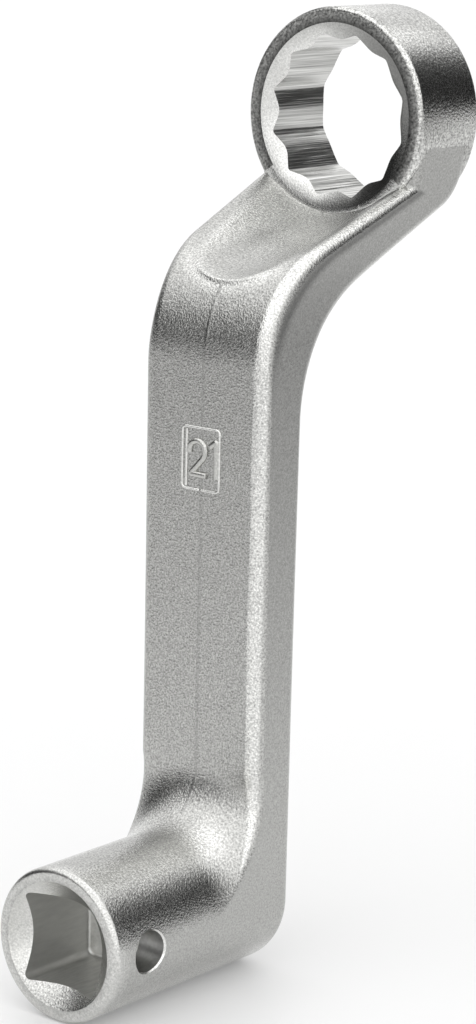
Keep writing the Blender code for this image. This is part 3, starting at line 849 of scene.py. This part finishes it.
def floor():
    """A wide pale floor. What looks at it sees it a little brighter, so that its lit part is white."""
    corners = FLOOR_HALF * np.array([(-1.0, -1.0, 0.0), (1.0, -1.0, 0.0), (1.0, 1.0, 0.0),
                                     (-1.0, 1.0, 0.0)])
    mesh = bpy.data.meshes.new("floor")
    mesh.from_pydata(corners, [], [(0, 1, 2, 3)])
    piece = bpy.data.objects.new("floor", mesh)
    bpy.context.scene.collection.objects.link(piece)
    material = bpy.data.materials.new("floor")
    material.use_nodes = True
    tree = material.node_tree
    shader = tree.nodes["Principled BSDF"]
    shader.inputs["Base Color"].default_value = FLOOR
    shader.inputs["Emission Color"].default_value = WHITE
    path = tree.nodes.new("ShaderNodeLightPath")
    seen = math_node(tree, "MAXIMUM", path.outputs["Is Camera Ray"], path.outputs["Is Glossy Ray"])
    seen = math_node(tree, "MAXIMUM", seen, path.outputs["Is Transmission Ray"])
    tree.links.new(math_node(tree, "MULTIPLY", seen, FLOOR_WHITE), shader.inputs["Emission Strength"])
    piece.data.materials.append(material)
    return piece


def aim(azimuth, elevation):
    """The unit vector at an azimuth from +X towards +Y and an elevation, in degrees."""
    azimuth, elevation = math.radians(azimuth), math.radians(elevation)
    level = math.cos(elevation)
    return level * math.cos(azimuth), level * math.sin(azimuth), math.sin(elevation)


def patch(tree, direction, centre, radius, softness, outside, inside):
    """A round patch of the tent: one value within a radius of its centre and another outside, with a soft
    edge between them, by the cosine of the angle from its centre."""
    dot = tree.nodes.new("ShaderNodeVectorMath")
    dot.operation = "DOT_PRODUCT"
    dot.inputs[1].default_value = aim(*centre)
    tree.links.new(direction, dot.inputs[0])
    start = math.cos(math.radians(radius + softness))
    end = math.cos(math.radians(radius - softness))
    return ramp(tree, dot.outputs["Value"], start, end, outside, inside)


def studio():
    """A white tent: an even light, brighter in front and high up behind, with two dark gaps, a wide one low
    on the -X side and a small one behind on the +X side."""
    world = bpy.data.worlds.new("studio")
    world.use_nodes = True
    tree = world.node_tree
    direction = tree.nodes.new("ShaderNodeTexCoord").outputs["Generated"]
    light = TENT_LIGHT
    for *area, more in BRIGHT_PATCHES:
        light = math_node(tree, "ADD", light, patch(tree, direction, *area, 0.0, more))
    for *area, left in DARK_PATCHES:
        light = math_node(tree, "MULTIPLY", light, patch(tree, direction, *area, 1.0, left))
    tree.links.new(light, tree.nodes["Background"].inputs["Strength"])
    tree.nodes["Background"].inputs["Color"].default_value = WHITE
    bpy.context.scene.world = world


def camera():
    """The camera at the photograph's viewing angle."""
    data = bpy.data.cameras.new("camera")
    data.sensor_width = SENSOR_WIDTH
    data.lens = LENS
    piece = bpy.data.objects.new("camera", data)
    forward = np.array(CAMERA_FORWARD)
    up = np.array(CAMERA_UP)
    right = np.cross(forward, up)
    turn = np.column_stack([right, up, -forward])
    piece.matrix_world = Matrix.Translation(CAMERA_PLACE) @ Matrix(turn.tolist()).to_4x4()
    bpy.context.scene.collection.objects.link(piece)
    bpy.context.scene.camera = piece


# Finishes: colour, roughness, grain, its height and its speckle
BLASTED = chrome("satin_chrome", DULL, 0.22, FINE_GRAIN, 0.085 * MM, 1.0)
# Coarse grain, and a dark colour that is painted shade
COARSE_SHADED = chrome("coarse_shaded_chrome", DARK, 0.34, COARSE_GRAIN, 0.14 * MM, 1.6)
MACHINED = chrome("machined_chrome", BRIGHTEST, 0.22, FINE_GRAIN, 0.035 * MM, 0.45)
# The lead-in is painted shade on faces that turn to -X and a painted highlight on faces that turn to +X
LEAD_IN = chrome("lead_in_chrome", SHADED, 0.24, FINE_GRAIN, 0.03 * MM, 0.45, side_grain=1.0,
                 painted_highlight_color=BRIGHTEST)
BROACHED = chrome("broached_chrome", DULL, 0.28, BROACH_STREAKS, 0.1 * MM, 1.8)
SMOOTH = chrome("smooth_chrome", MILD, 0.46, SOCKET_STREAKS, 0.02 * MM, 0.25)
# The dark colour of the cross hole's bore is painted shade
DRILLED = chrome("drilled_chrome", SHADED, 0.4, DRILLED_GRAIN, 0.01 * MM, 0.3)
RING = chrome("ring_chrome", DULL, 0.23, RING_GRAIN, 0.06 * MM, 1.4, side_grain=1.0)
RIM = chrome("rim_chrome", DULL, 0.26, FINE_GRAIN, 0.025 * MM, 0.6)
FINE = chrome("fine_chrome", MILD, 0.24, FINE_GRAIN, 0.03 * MM, 0.5)
SEAM = chrome("seam_chrome", FAINT, 0.26, FINE_GRAIN, 0.05 * MM, 1.1)

forging = combined(bar(), [(ring_blank(), "UNION"), (ring_bore(), "DIFFERENCE"),
                           (drive_socket(), "DIFFERENCE"), (cross_hole(), "DIFFERENCE")])
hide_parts("wrench_body")
for piece in (forging, parting_line(), *size_mark()):
    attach(piece, "root")
floor()
camera()
bpy.context.scene.view_settings.view_transform = "Standard"
studio()
